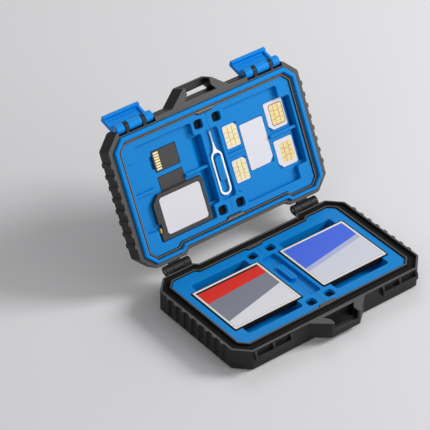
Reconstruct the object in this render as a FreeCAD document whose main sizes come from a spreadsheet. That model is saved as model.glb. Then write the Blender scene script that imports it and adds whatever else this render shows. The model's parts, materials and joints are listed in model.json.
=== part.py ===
import FreeCAD
import Part
import Sketcher
import math
import os
import re

# Every size in millimetres, or degrees for angles. Lid pieces are drawn with the lid laid out flat behind
# the hinge axis, and are then raised to the angle at which the case stands open.
SIZES = {
    # outline shared by both shells
    "case_length": 122.0,
    "case_width": 73.0,
    "corner_cut": 7.5,
    "corner_round": 2.0,
    "rear_step": 2.0,
    "rear_step_half": 32.0,
    "rear_band_share": 0.72,
    "base_height": 12.5,
    "lid_height": 11.0,
    "closing_gap": 0.3,
    "shell_floor": 1.6,
    "base_edge_cut": 1.0,
    "lid_edge_cut": 1.8,
    "lid_raise": 64.0,
    "cut_overrun": 1.0,
    # wall tabs that key the trays at the middle of the long sides
    "tab_half": 4.2,
    "tab_depth": 1.3,
    # rim bands of the base, from outside in
    "lip_outer": 1.2,
    "ledge_width": 4.4,
    "ledge_depth": 1.5,
    "lip_inner": 1.0,
    # rim bands of the lid, from outside in
    "rim_wall": 2.6,
    "seal_gap": 0.3,
    "seal_width": 2.4,
    "seal_groove": 2.0,
    "seal_proud": 1.4,
    "seal_round": 0.8,
    "inner_wall": 1.4,
    # recessed panel on the back of the lid
    "panel_inset": 10.0,
    "panel_depth": 0.5,
    # grip ribs on the two short sides
    "rib_pitch": 6.2,
    "rib_count": 8,
    "rib_width": 3.4,
    "rib_tip": 2.2,
    "rib_out": 0.8,
    "rib_root": 0.6,
    "rib_lift": 1.8,
    # hinges
    "hinge_out": 3.25,
    "hinge_x": 42.0,
    "hinge_width": 15.2,
    "hinge_radius": 2.6,
    "knuckle_center": 6.4,
    "knuckle_gap": 0.5,
    "hinge_root": 1.0,
    "hinge_pin_radius": 1.0,
    "pin_clearance": 0.04,
    # latches, their ears on the lid and their keepers on the base
    "latch_x": 41.0,
    "latch_swing": 140.0,
    "latch_play": 0.3,
    "latch_knuckle_wide": 8.0,
    "latch_knuckle_narrow": 4.6,
    "latch_knuckle_radius": 2.8,
    "latch_pivot_out": 1.0,
    "latch_pivot_drop": 3.1,
    "latch_pin_radius": 1.0,
    "lever_plate": 1.4,
    "lever_wall": 1.5,
    "lever_wall_rise": 0.9,
    "lever_start": 3.2,
    "lever_round": 0.6,
    "hook_thick": 2.1,
    "hook_bite": 1.0,
    "latch_notch_depth": 2.1,
    "latch_notch_below": 5.0,
    "ear_width": 2.0,
    "ear_radius": 2.5,
    "ear_root": 0.3,
    "keeper_width": 23.5,
    "keeper_out": 2.0,
    "keeper_low": 6.8,
    "keeper_thick": 2.4,
    "keeper_bar": 1.2,
    "keeper_rib": 1.8,
    "keeper_cheek": 1.5,
    "keeper_root": 0.8,
    "keeper_tip_drop": 0.6,
    "keeper_tip_out": 0.8,
    # carrying handle, one half on each shell
    "handle_foot_half": 18.4,
    "handle_bar_half": 9.2,
    "handle_reach": 7.5,
    "handle_bar": 3.6,
    "handle_web": 0.8,
    "handle_open_half": 10.0,
    "handle_open_end_half": 7.6,
    "handle_thick": 9.4,
    "handle_root": 0.8,
    "handle_bar_drop": 5.4,
    # trays
    "tray_gap": 0.3,
    "tray_drop": 0.8,
    "seam_gap": 0.2,
    "card_play": 0.3,
    "peg_x": 5.8,
    "peg_y": 23.6,
    "peg_length": 5.4,
    "peg_width": 5.0,
    "peg_round": 1.5,
    "peg_play": 0.2,
    "peg_drop": 1.8,
    "pocket_round": 0.8,
    # large cards in the base
    "cf_length": 42.8,
    "cf_width": 36.4,
    "cf_thick": 3.3,
    "cf_x": 28.3,
    "cf_proud": 0.3,
    "cf_label_inset": 1.3,
    "cf_label_thick": 0.3,
    "cf_label_round": 0.8,
    "cf_guide_depth": 0.9,
    "cf_guide_high": 1.2,
    "cf_guide_low": 1.0,
    "cf_guide_length": 26.0,
    "cf_socket_length": 38.0,
    "cf_socket_high": 1.3,
    "cf_socket_depth": 1.6,
    "recess_length": 34.6,
    "recess_out": 5.2,
    "recess_under": 3.0,
    "recess_depth": 6.6,
    "recess_round": 1.4,
    # channel along the seam of both pairs of trays, with an island off its middle
    "channel_half": 4.6,
    "channel_length": 38.0,
    "channel_depth": 2.0,
    "channel_round": 1.6,
    "island_width": 4.0,
    "island_length": 13.4,
    "island_round": 1.9,
    "island_off": 2.6,
    # wells in the lid's trays: a cross with a low rib over its middle and a sloped trough at each end
    "well_in": 6.0,
    "well_out": 52.0,
    "well_end_in": 10.2,
    "well_end_out": 45.5,
    "well_mid": 18.8,
    "well_end": 26.0,
    "well_depth": 2.6,
    "well_round": 1.2,
    "divider_low": 0.4,
    "divider_high": 2.0,
    "divider_drop": 1.0,
    "divider_gap_left": -39.6,
    "divider_gap_right": -20.4,
    "divider_lap": 0.5,
    "trough_outer": 48.9,
    "trough_inner": 12.2,
    "trough_depth": 5.6,
    "trough_trim": 1.2,
    # middle card of the lid
    "sd_length": 32.0,
    "sd_width": 24.0,
    "sd_thick": 2.1,
    "sd_x": -28.2,
    "sd_y": -13.6,
    "sd_cut": 4.2,
    "sd_round": 0.8,
    "sd_label_left": 4.0,
    "sd_label_right": 2.3,
    "sd_label_side": 2.2,
    "sd_label_thick": 0.25,
    "sd_label_round": 1.6,
    "lock_y": 4.2,
    "lock_travel": 2.0,
    "lock_length": 2.4,
    "lock_notch": 1.4,
    "lock_width": 1.0,
    "lock_gap": 0.2,
    "lock_thick": 1.1,
    # small cards in the lid's left tray
    "msd_length": 15.0,
    "msd_width": 11.0,
    "msd_thick": 1.0,
    "msd_x": -28.3,
    "msd_upper_y": 14.1,
    "msd_lower_y": 0.25,
    "msd_sink": 0.1,
    "msd_round": 0.5,
    "msd_notch_length": 3.0,
    "msd_notch_width": 7.0,
    "msd_notch_depth": 1.6,
    # subscriber cards in the lid's right tray
    "sim_thick": 0.8,
    "sim_proud": 0.1,
    "sim_cut": 2.6,
    "sim_round": 0.8,
    "chip_thick": 0.15,
    "chip_round": 1.2,
    "nano_length": 12.3,
    "nano_width": 8.8,
    "nano_cut": 1.6,
    "nano_x": 12.9,
    "nano_upper_y": 10.2,
    "nano_lower_y": -8.7,
    "nano_chip_length": 10.5,
    "nano_chip_width": 7.6,
    "mini_length": 25.0,
    "mini_width": 15.0,
    "mini_x": 26.4,
    "mini_y": 0.9,
    "micro_length": 15.0,
    "micro_width": 12.0,
    "micro_x": 42.3,
    "micro_upper_y": 11.1,
    "micro_lower_y": -9.8,
    "micro_chip_length": 10.8,
    "micro_chip_width": 8.0,
    "micro_chip_shift": 1.0,
    # eject pin on the centre line of the lid
    "pin_wire": 0.6,
    "pin_loop_half": 3.6,
    "pin_loop_round": 3.4,
    "pin_loop_low": -17.2,
    "pin_loop_high": 6.8,
    "pin_tip": 17.6,
    "pin_taper": 0.2,
}

WORD = re.compile(r"[a-z_]+")
SAME = 1e-9
NEAR = 1e-2
CUT_SHARE = f"{2 - math.sqrt(2):.9f}"
SKEW_SHARE = f"{math.sqrt(2) - 1:.9f}"

doc = FreeCAD.newDocument("memory_card_case")
sheet = doc.addObject("Spreadsheet::Sheet", "Sizes")
for row, (size_name, size) in enumerate(SIZES.items(), start=1):
    sheet.set(f"A{row}", size_name)
    sheet.set(f"B{row}", str(size))
    sheet.setAlias(f"B{row}", size_name)
doc.recompute()


def bound(text):
    return WORD.sub(lambda m: "Sizes." + m.group() if m.group() in SIZES else m.group(), text)


def value(text):
    return float(sheet.evalExpression(bound(text)))


def minus(text):
    return f"-({text})"


def new_body(name):
    made = doc.addObject("PartDesign::Body", name)
    made.Label = name
    return made


def new_sketch(owner, name, role, offset):
    made = owner.newObject("Sketcher::SketchObject", name)
    origin = [f for f in owner.Origin.OriginFeatures if f.Role == role]
    made.AttachmentSupport = [(origin[0], "")]
    made.MapMode = "FlatFace"
    made.setExpression("AttachmentOffset.Base.z", bound(offset))
    return made


def tie(sketch, kind, first, spot, text):
    # A signed distance from the sketch origin to a point, bound to the sizes.
    if abs(value(text)) < SAME:
        axis = -2 if kind == "DistanceX" else -1
        sketch.addConstraint(Sketcher.Constraint("PointOnObject", first, spot, axis))
        return
    made = sketch.addConstraint(Sketcher.Constraint(kind, -1, 1, first, spot, value(text)))
    sketch.setExpression(f"Constraints[{made}]", bound(text))


def polygon(sketch, points):
    spots = [FreeCAD.Vector(value(u), value(v), 0) for u, v in points]
    start = sketch.GeometryCount
    count = len(spots)
    for i in range(count):
        sketch.addGeometry(Part.LineSegment(spots[i], spots[(i + 1) % count]), False)
    for i in range(count):
        joint = Sketcher.Constraint("Coincident", start + i, 2, start + (i + 1) % count, 1)
        sketch.addConstraint(joint)
    for i, (u, v) in enumerate(points):
        tie(sketch, "DistanceX", start + i, 1, u)
        tie(sketch, "DistanceY", start + i, 1, v)


def circle(sketch, u, v, radius):
    middle = FreeCAD.Vector(value(u), value(v), 0)
    made = sketch.addGeometry(Part.Circle(middle, FreeCAD.Vector(0, 0, 1), value(radius)))
    tie(sketch, "DistanceX", made, 3, u)
    tie(sketch, "DistanceY", made, 3, v)
    size = sketch.addConstraint(Sketcher.Constraint("Radius", made, value(radius)))
    sketch.setExpression(f"Constraints[{size}]", bound(radius))


def rounded(sketch, u, v, length, width, radius):
    # A rectangle about (u, v) with four equal round corners.
    r = value(radius)
    across = value(length) / 2 - r
    along = value(width) / 2 - r
    start = sketch.GeometryCount
    turns = ((1, 1), (-1, 1), (-1, -1), (1, -1))
    corners = [(value(u) + i * across, value(v) + j * along) for i, j in turns]
    for turn, (x, y) in enumerate(corners):
        round_part = Part.Circle(FreeCAD.Vector(x, y, 0), FreeCAD.Vector(0, 0, 1), r)
        sketch.addGeometry(Part.ArcOfCircle(round_part, turn * math.pi / 2, (turn + 1) * math.pi / 2), False)
    for turn in range(4):
        here = sketch.Geometry[start + turn].EndPoint
        there = sketch.Geometry[start + (turn + 1) % 4].StartPoint
        sketch.addGeometry(Part.LineSegment(here, there), False)
    for turn in range(4):
        line = start + 4 + turn
        sketch.addConstraint(Sketcher.Constraint("Tangent", start + turn, 2, line, 1))
        sketch.addConstraint(Sketcher.Constraint("Tangent", line, 2, start + (turn + 1) % 4, 1))
        sketch.addConstraint(Sketcher.Constraint("Horizontal" if turn % 2 == 0 else "Vertical", line))
    for turn in range(1, 4):
        sketch.addConstraint(Sketcher.Constraint("Equal", start, start + turn))
    size = sketch.addConstraint(Sketcher.Constraint("Radius", start, r))
    sketch.setExpression(f"Constraints[{size}]", bound(radius))
    tie(sketch, "DistanceX", start, 1, f"{u} + ({length}) / 2")
    tie(sketch, "DistanceX", start + 1, 2, f"{u} - ({length}) / 2")
    tie(sketch, "DistanceY", start, 2, f"{v} + ({width}) / 2")
    tie(sketch, "DistanceY", start + 2, 2, f"{v} - ({width}) / 2")


def extrude(owner, sketch, kind, length):
    made = owner.newObject(f"PartDesign::{kind}", f"{sketch.Name}_{kind.lower()}")
    made.Profile = sketch
    made.setExpression("Length", bound(length))
    sketch.Visibility = False
    doc.recompute()
    return made


def slab(owner, name, floor, height, *loops):
    # A pad that stands on the level plane at floor; each loop is a call that draws into the sketch.
    sketch = new_sketch(owner, f"{owner.Name}_{name}", "XY_Plane", floor)
    for draw in loops:
        draw(sketch)
    return extrude(owner, sketch, "Pad", height)


def sink(owner, name, top, depth, *loops):
    sketch = new_sketch(owner, f"{owner.Name}_{name}", "XY_Plane", top)
    for draw in loops:
        draw(sketch)
    return extrude(owner, sketch, "Pocket", depth)


def bar(owner, name, start, end, *loops, kind="Pad"):
    # Along X from start to end: loops are drawn in Y and Z.
    place = start if kind == "Pad" else end
    sketch = new_sketch(owner, f"{owner.Name}_{name}", "YZ_Plane", place)
    for draw in loops:
        draw(sketch)
    return extrude(owner, sketch, kind, f"({end}) - ({start})")


def loop(points):
    return lambda sketch: polygon(sketch, points)


def disc(u, v, radius):
    return lambda sketch: circle(sketch, u, v, radius)


def soft_box(u, v, length, width, radius):
    return lambda sketch: rounded(sketch, u, v, length, width, radius)


def dress(owner, base, kind, name, size, keep):
    edges = [f"Edge{i}" for i, edge in enumerate(base.Shape.Edges, start=1) if keep(edge)]
    made = owner.newObject(f"PartDesign::{kind}", f"{owner.Name}_{name}")
    made.Base = (base, edges)
    made.setExpression("Radius" if kind == "Fillet" else "Size", bound(size))
    doc.recompute()
    return made


def upright(edge):
    box = edge.BoundBox
    return box.ZLength > box.XLength + box.YLength


def level_at(edge, height):
    box = edge.BoundBox
    return abs(box.ZMin - height) < NEAR and abs(box.ZMax - height) < NEAR


def outline(inset, middle, back, tabs=None):
    # The rim polygon drawn in by inset, less so at the rear, where the rim is narrower: cut corners, a step
    # in the rear side, and the tray tabs if asked.
    a = f"(case_length / 2 - ({inset}))"
    b = f"(case_width / 2 - ({inset}))"
    r = f"(case_width / 2 - ({inset}) * rear_band_share)"
    c = f"(corner_cut - ({inset}) * {CUT_SHARE})"
    step = f"({r} - rear_step)"
    near = f"(rear_step_half + ({inset}) * {SKEW_SHARE})"
    far = f"({near} + rear_step)"
    front, rear = [], [(near, step)]
    if tabs is not None:
        half = f"(tab_half + ({tabs}) * {SKEW_SHARE})"
        wide = f"({half} + tab_depth)"
        front_in = f"tab_depth - {b}"
        rear_in = f"{step} - tab_depth"
        front = [(minus(wide), minus(b)), (minus(half), front_in), (half, front_in), (wide, minus(b))]
        rear += [(wide, step), (half, rear_in), (minus(half), rear_in), (minus(wide), step)]
    points = [(minus(a), f"{c} - {b}"), (f"{c} - {a}", minus(b))]
    points += front
    points += [(f"{a} - {c}", minus(b)), (a, f"{c} - {b}"), (a, f"{r} - {c}"), (f"{a} - {c}", r)]
    points += [(far, r)]
    points += rear
    points += [(minus(near), step), (minus(far), r), (f"{c} - {a}", r), (minus(a), f"{r} - {c}")]
    return [(u, f"{middle} + {back} * ({v})") for u, v in points]


def half_outline(inset, middle, back, tabs, side):
    # One half of the tray outline, cut on the centre line with half the seam's gap.
    points = [(u, v) for u, v in outline(inset, middle, back, tabs) if value(u) * side > 0]
    seam = f"{side} * seam_gap / 2"
    if side > 0:
        return [(seam, points[0][1])] + points + [(seam, points[-1][1])]
    front = sum(1 for u, v in points if (value(v) - value(middle)) * float(back) < 0)
    return points[:front] + [(seam, points[front - 1][1]), (seam, points[front][1])] + points[front:]


def ring(outer, inner):
    return (loop(outer), loop(inner))


BASE_RIM = "base_height"
BASE_CAVITY = "lip_outer + ledge_width + lip_inner"
LID_RIM = "-closing_gap"
LID_BACK = "-closing_gap - lid_height"
LID_CAVITY = "rim_wall + seal_gap + seal_width + seal_gap + inner_wall"
LID_MIDDLE = "hinge_out + case_width / 2"
LID_FRONT = "hinge_out + case_width"
HINGE_Y = "case_width / 2 + hinge_out"
HINGE_Z = "base_height"


def ribs(owner, floor, top, middle):
    # Grip ribs on both short sides: one pair, repeated along the side.
    first = f"{middle} - rib_pitch * (rib_count - 1) / 2"
    pair = []
    for side in ("-1", "1"):
        wall = f"{side} * (case_length / 2 - rib_root)"
        tip = f"{side} * (case_length / 2 + rib_out)"
        pair.append(loop([(wall, f"{first} - rib_width / 2"), (tip, f"{first} - rib_tip / 2"),
                          (tip, f"{first} + rib_tip / 2"), (wall, f"{first} + rib_width / 2")]))
    rib = slab(owner, "rib", floor, f"{top} - ({floor})", *pair)
    row = owner.newObject("PartDesign::LinearPattern", f"{owner.Name}_rib_row")
    row.Originals = [rib]
    row.Direction = (rib.Profile[0], ["V_Axis"])
    row.setExpression("Length", bound("rib_pitch * (rib_count - 1)"))
    row.setExpression("Occurrences", bound("rib_count"))
    owner.Tip = row
    doc.recompute()


def handle(owner, wall, out, top):
    # Half of the carrying handle: two slanted arms, and a bar set back from the mating plane.
    def at(reach):
        return f"{wall} + {out} * ({reach})"
    bar_edge = "handle_reach - handle_bar"
    outer = loop([("-handle_foot_half", at("-handle_root")), ("-handle_foot_half", at("0")),
                  ("-handle_bar_half", at("handle_reach")), ("handle_bar_half", at("handle_reach")),
                  ("handle_foot_half", at("0")), ("handle_foot_half", at("-handle_root"))])
    inner = loop([("-handle_open_half", at("handle_web")), ("-handle_open_end_half", at(bar_edge)),
                  ("handle_open_end_half", at(bar_edge)), ("handle_open_half", at("handle_web"))])
    slab(owner, "handle", f"{top} - handle_thick", "handle_thick", outer, inner)
    near = at(f"{bar_edge} - cut_overrun")
    far = at("handle_reach + cut_overrun")
    step = loop([("-handle_open_end_half", near), ("handle_open_end_half", near),
                 ("handle_open_end_half", far), ("-handle_open_end_half", far)])
    sink(owner, "bar_drop", top, "handle_bar_drop", step)


def knuckle(owner, name, start, end, wall, axis_y, axis_z, radius, low, high):
    # A barrel on an arm that grows out of a wall.
    arm = loop([(wall, low), (axis_y, low), (axis_y, high), (wall, high)])
    bar(owner, f"{name}_arm", start, end, arm)
    bar(owner, f"{name}_barrel", start, end, disc(axis_y, axis_z, radius))


def outer_solid(owner, floor, top, middle, back, edge_cut):
    block = slab(owner, "block", floor, f"{top} - ({floor})", loop(outline("0", middle, back)))
    clear = value("rear_step_half + rear_step + corner_cut")
    soft = dress(owner, block, "Fillet", "corners", "corner_round",
                 lambda e: upright(e) and abs(e.BoundBox.Center.x) > clear)
    low = value(floor)
    dress(owner, soft, "Chamfer", "edge_cut", edge_cut, lambda e: level_at(e, low))


def pegs(middle, play):
    # Four posts near the middle, or the holes that they stand in.
    loops = []
    for side in ("-1", "1"):
        for end in ("-1", "1"):
            loops.append(soft_box(f"{side} * peg_x", f"{middle} + {end} * peg_y", f"peg_length - 2 * {play}",
                                  f"peg_width - 2 * {play}", f"peg_round - {play}"))
    return loops


# base shell
base_shell = new_body("base_shell")
outer_solid(base_shell, "0", BASE_RIM, "0", "1", "base_edge_cut")
ribs(base_shell, "rib_lift", BASE_RIM, "0")
handle(base_shell, "-case_width / 2", "-1", BASE_RIM)
wall_y = "-case_width / 2"
for side in ("-1", "1"):
    tag = "left" if side == "-1" else "right"
    middle_x = f"{side} * latch_x"
    ends = [f"{middle_x} - keeper_width / 2", f"{middle_x} + keeper_width / 2"]
    frame = loop([(ends[0], f"{wall_y} + keeper_root"), (ends[0], f"{wall_y} - keeper_out"),
                  (ends[1], f"{wall_y} - keeper_out"), (ends[1], f"{wall_y} + keeper_root")])
    windows = []
    for part in ("-1", "1"):
        near = f"{middle_x} + {part} * keeper_rib / 2"
        far = f"{middle_x} + {part} * (keeper_width / 2 - keeper_cheek)"
        windows.append(loop([(near, wall_y), (far, wall_y), (far, f"{wall_y} - keeper_out + keeper_bar"),
                             (near, f"{wall_y} - keeper_out + keeper_bar")]))
    slab(base_shell, f"keeper_{tag}", "keeper_low", "keeper_thick", frame, *windows)
    top = "keeper_low + keeper_thick"
    cheek = loop([(f"{wall_y} + keeper_root", top), (f"{wall_y} - keeper_out", top),
                  (f"{wall_y} - keeper_tip_out", "base_height - keeper_tip_drop"),
                  (f"{wall_y} + keeper_root", "base_height - keeper_tip_drop")])
    bar(base_shell, f"cheek_low_{tag}", ends[0], f"{ends[0]} + keeper_cheek", cheek)
    bar(base_shell, f"cheek_mid_{tag}", f"{middle_x} - keeper_rib / 2", f"{middle_x} + keeper_rib / 2",
        cheek)
    bar(base_shell, f"cheek_high_{tag}", f"{ends[1]} - keeper_cheek", ends[1], cheek)
for side in ("-1", "1"):
    tag = "left" if side == "-1" else "right"
    middle_x = f"{side} * hinge_x"
    inside = "knuckle_center / 2 + knuckle_gap"
    for end in ("-1", "1"):
        edges = [f"{middle_x} + {end} * ({inside})", f"{middle_x} + {end} * hinge_width / 2"]
        edges.sort(key=value)
        knuckle(base_shell, f"knuckle_{tag}_{'low' if end == '-1' else 'high'}", edges[0], edges[1],
                "case_width / 2 - hinge_root", HINGE_Y, HINGE_Z, "hinge_radius",
                "base_height - hinge_radius", "base_height")
    bar(base_shell, f"pin_bore_{tag}", f"{middle_x} - hinge_width / 2 - cut_overrun",
        f"{middle_x} + hinge_width / 2 + cut_overrun",
        disc(HINGE_Y, HINGE_Z, "hinge_pin_radius + pin_clearance"), kind="Pocket")
sink(base_shell, "ledge", BASE_RIM, "ledge_depth",
     *ring(outline("lip_outer", "0", "1"), outline("lip_outer + ledge_width", "0", "1")))
sink(base_shell, "cavity", BASE_RIM, "base_height - shell_floor",
     loop(outline(BASE_CAVITY, "0", "1", "0")))
slab(base_shell, "pegs", "shell_floor", "base_height - tray_drop - peg_drop - shell_floor",
     *pegs("0", "peg_play"))

# lid shell
lid_shell = new_body("lid_shell")
outer_solid(lid_shell, LID_BACK, LID_RIM, LID_MIDDLE, "-1", "lid_edge_cut")
ribs(lid_shell, f"{LID_BACK} + rib_lift", LID_RIM, LID_MIDDLE)
handle(lid_shell, LID_FRONT, "1", LID_RIM)
LATCH_Y = f"{LID_FRONT} + latch_pivot_out"
LATCH_Z = f"{LID_RIM} - latch_pivot_drop"
EAR_MIDDLE = "latch_knuckle_wide / 2 + latch_play + ear_width / 2"
LATCH_HALF = "latch_knuckle_wide / 2 + latch_play + ear_width + latch_play + latch_knuckle_narrow"
for side in ("-1", "1"):
    tag = "left" if side == "-1" else "right"
    notch_half = f"({LATCH_HALF} + latch_play)"
    notch_ends = [f"{side} * latch_x - {notch_half}", f"{side} * latch_x + {notch_half}"]
    notch_wall = f"{LID_FRONT} - latch_notch_depth"
    notch_far = f"{LID_FRONT} + cut_overrun"
    sink(lid_shell, f"latch_notch_{tag}", LID_RIM, "latch_pivot_drop + latch_notch_below",
         loop([(notch_ends[0], notch_wall), (notch_ends[1], notch_wall),
               (notch_ends[1], notch_far), (notch_ends[0], notch_far)]))
    for part in ("-1", "1"):
        spot = f"{side} * latch_x + {part} * ({EAR_MIDDLE})"
        knuckle(lid_shell, f"ear_{tag}_{'low' if part == '-1' else 'high'}", f"{spot} - ear_width / 2",
                f"{spot} + ear_width / 2", f"{notch_wall} - ear_root", LATCH_Y, LATCH_Z,
                "ear_radius", f"{LATCH_Z} - ear_radius", f"{LATCH_Z} + ear_radius")
    reach = f"{EAR_MIDDLE} + ear_width / 2 + cut_overrun"
    bar(lid_shell, f"latch_bore_{tag}", f"{side} * latch_x - ({reach})", f"{side} * latch_x + {reach}",
        disc(LATCH_Y, LATCH_Z, "latch_pin_radius + pin_clearance"), kind="Pocket")
    middle_x = f"{side} * hinge_x"
    knuckle(lid_shell, f"knuckle_{tag}", f"{middle_x} - knuckle_center / 2",
            f"{middle_x} + knuckle_center / 2", "hinge_out + hinge_root", "0", "0", "hinge_radius",
            "-hinge_radius", LID_RIM)
    bar(lid_shell, f"pin_bore_{tag}", f"{middle_x} - knuckle_center / 2 - cut_overrun",
        f"{middle_x} + knuckle_center / 2 + cut_overrun",
        disc("0", "0", "hinge_pin_radius + pin_clearance"), kind="Pocket")
SEAL_OUT = "rim_wall + seal_gap"
sink(lid_shell, "seal_groove", LID_RIM, "seal_groove",
     *ring(outline("rim_wall", LID_MIDDLE, "-1"),
           outline(f"{SEAL_OUT} + seal_width + seal_gap", LID_MIDDLE, "-1")))
sink(lid_shell, "cavity", LID_RIM, "lid_height - shell_floor",
     loop(outline(LID_CAVITY, LID_MIDDLE, "-1", "0")))
slab(lid_shell, "pegs", f"{LID_BACK} + shell_floor", "lid_height - tray_drop - peg_drop - shell_floor",
     *pegs(LID_MIDDLE, "peg_play"))
sink(lid_shell, "panel", f"{LID_BACK} + panel_depth", "panel_depth + cut_overrun",
     loop(outline("panel_inset", LID_MIDDLE, "-1")))

# seal in the lid's groove
lid_seal = new_body("lid_seal")
seal_floor = f"{LID_RIM} - seal_groove"
seal = slab(lid_seal, "ring", seal_floor, "seal_groove + seal_proud",
            *ring(outline(SEAL_OUT, LID_MIDDLE, "-1"),
                  outline(f"{SEAL_OUT} + seal_width", LID_MIDDLE, "-1")))
seal_top = value(f"{LID_RIM} + seal_proud")
dress(lid_seal, seal, "Fillet", "crown", "seal_round", lambda e: level_at(e, seal_top))

# hinge pins and latch pins
for side in ("-1", "1"):
    tag = "left" if side == "-1" else "right"
    pin = new_body(f"hinge_pin_{tag}")
    bar(pin, "rod", f"{side} * hinge_x - hinge_width / 2", f"{side} * hinge_x + hinge_width / 2",
        disc(HINGE_Y, HINGE_Z, "hinge_pin_radius"))
for side in ("-1", "1"):
    tag = "left" if side == "-1" else "right"
    pin = new_body(f"latch_pin_{tag}")
    bar(pin, "rod", f"{side} * latch_x - ({LATCH_HALF})", f"{side} * latch_x + {LATCH_HALF}",
        disc(LATCH_Y, LATCH_Z, "latch_pin_radius"))

# latches, drawn shut about their own pivot: Y points out from the case, Z towards the keeper
FACE = "keeper_out - latch_pivot_out"
PLATE_IN = f"({FACE} + latch_play + lever_wall_rise)"
PLATE_OUT = f"({PLATE_IN} + lever_plate)"
HOOK_TOP = "(base_height + closing_gap + latch_pivot_drop - keeper_low + latch_play)"
HOOK_END = f"({HOOK_TOP} + hook_thick)"
for tag in ("left", "right"):
    latch = new_body(f"latch_{tag}")
    lever = bar(latch, "lever", f"-({LATCH_HALF})", LATCH_HALF,
                loop([(PLATE_IN, "lever_start"), (PLATE_OUT, "lever_start"), (PLATE_OUT, HOOK_END),
                      (f"{FACE} - hook_bite", HOOK_END), (f"{FACE} - hook_bite", HOOK_TOP),
                      (PLATE_IN, HOOK_TOP)]))
    long_edge = value(LATCH_HALF)
    dress(latch, lever, "Fillet", "soft_edges", "lever_round",
          lambda e: e.BoundBox.XLength > long_edge)
    for end in ("-1", "1"):
        edges = [f"{end} * ({LATCH_HALF})", f"{end} * ({LATCH_HALF} - lever_wall)"]
        edges.sort(key=value)
        bar(latch, f"wall_{'low' if end == '-1' else 'high'}", edges[0], edges[1],
            loop([(f"{FACE} + latch_play", "lever_start"), (PLATE_OUT, "lever_start"),
                  (PLATE_OUT, HOOK_END), (f"{FACE} + latch_play", HOOK_END)]))
    inner = "latch_knuckle_wide / 2 + latch_play + ear_width + latch_play"
    for name, start, end in (("low", f"-({LATCH_HALF})", minus(inner)),
                             ("mid", "-latch_knuckle_wide / 2", "latch_knuckle_wide / 2"),
                             ("high", inner, LATCH_HALF)):
        bar(latch, f"lug_{name}", start, end,
            loop([("0", "0"), ("latch_knuckle_radius", "0"), (PLATE_OUT, "lever_start"),
                  (PLATE_OUT, "lever_start + lever_plate"), (PLATE_IN, "lever_start + lever_plate"),
                  ("0", "latch_knuckle_radius")]))
        bar(latch, f"knuckle_{name}", start, end, disc("0", "0", "latch_knuckle_radius"))
    bar(latch, "bore", f"-({LATCH_HALF}) - cut_overrun", f"{LATCH_HALF} + cut_overrun",
        disc("0", "0", "latch_pin_radius + pin_clearance"), kind="Pocket")

# trays
BASE_TOP = "(base_height - tray_drop)"
LID_TOP = "(-closing_gap - tray_drop)"


def channel(owner, top, middle, off):
    sink(owner, "channel", top, "channel_depth",
         soft_box("0", middle, "2 * channel_half", "channel_length", "channel_round"),
         soft_box("0", f"{middle} + {off}", "island_width", "island_length", "island_round"))


def roomy(size):
    return f"{size} + 2 * card_play"


for side in (-1, 1):
    tag = "left" if side < 0 else "right"
    tray = new_body(f"base_tray_{tag}")
    slab(tray, "block", "shell_floor", f"{BASE_TOP} - shell_floor",
         loop(half_outline(f"{BASE_CAVITY} + tray_gap", "0", "1", "tray_gap", side)))
    spot = f"{side} * cf_x"
    sink(tray, "card", BASE_TOP, "cf_thick - cf_proud",
         soft_box(spot, "0", roomy("cf_length"), roomy("cf_width"), "pocket_round"))
    span = "recess_out + recess_under"
    for end in ("-1", "1"):
        middle = f"{end} * (cf_width / 2 + card_play + (recess_out - recess_under) / 2)"
        sink(tray, f"recess_{'front' if end == '-1' else 'back'}", BASE_TOP, "recess_depth",
             soft_box(spot, middle, "recess_length", span, "recess_round"))
    channel(tray, BASE_TOP, "0", "island_off")
    sink(tray, "pegs", BASE_TOP, "base_height - tray_drop - shell_floor + cut_overrun", *pegs("0", "0"))


def spot_y(name):
    return f"({LID_MIDDLE} + {name})"


def rail(owner, name, start, end, points):
    # A cut along Y from start to end: its outline is drawn in X and Z.
    sketch = new_sketch(owner, f"{owner.Name}_{name}", "XZ_Plane", minus(start))
    polygon(sketch, points)
    return extrude(owner, sketch, "Pocket", f"({end}) - ({start})")


def well(owner, side):
    # The cross-shaped well of one lid tray, with a low divider over its middle.
    near = f"{side} * well_in"
    far = f"{side} * well_out"
    near_end = f"{side} * well_end_in"
    far_end = f"{side} * well_end_out"

    def half(sign, edge):
        mid = f"{sign} * well_mid"
        end = f"{sign} * well_end"
        spots = [(near, edge), (far, edge), (far, mid), (far_end, mid), (far_end, end), (near_end, end),
                 (near_end, mid), (near, mid)]
        return loop([(u, spot_y(v)) for u, v in spots])

    low = spot_y("divider_low - divider_lap")
    high = spot_y("divider_high + divider_lap")
    sink(owner, "divider", LID_TOP, "divider_drop",
         loop([(near, low), (far, low), (far, high), (near, high)]))
    made = sink(owner, "well", LID_TOP, "well_depth", half("-1", "divider_low"), half("1", "divider_high"))
    whole = value("lid_height - shell_floor - tray_drop")
    bounds = [value(spot_y("divider_low - well_mid / 2")), value(spot_y("divider_high + well_mid / 2"))]

    def corner(edge):
        box = edge.BoundBox
        return upright(edge) and box.ZLength < whole / 2 and not bounds[0] < box.Center.y < bounds[1]

    dress(owner, made, "Fillet", "well_corners", "well_round", corner)


def trough(owner, name, level, wall):
    # A floor that falls away towards a wall, on both sides of the divider.
    shape = [(level, f"{LID_TOP} - well_depth"), (wall, f"{LID_TOP} - trough_depth"), (wall, LID_TOP),
             (level, LID_TOP)]
    rail(owner, f"{name}_low", spot_y("trough_trim - well_mid"), spot_y("divider_low"), shape)
    rail(owner, f"{name}_high", spot_y("divider_high"), spot_y("well_mid - trough_trim"), shape)


def divider_gap(owner, left, right):
    low = spot_y("divider_low - divider_lap")
    high = spot_y("divider_high + divider_lap")
    sink(owner, "divider_gap", LID_TOP, "well_depth",
         loop([(left, low), (right, low), (right, high), (left, high)]))


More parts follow.
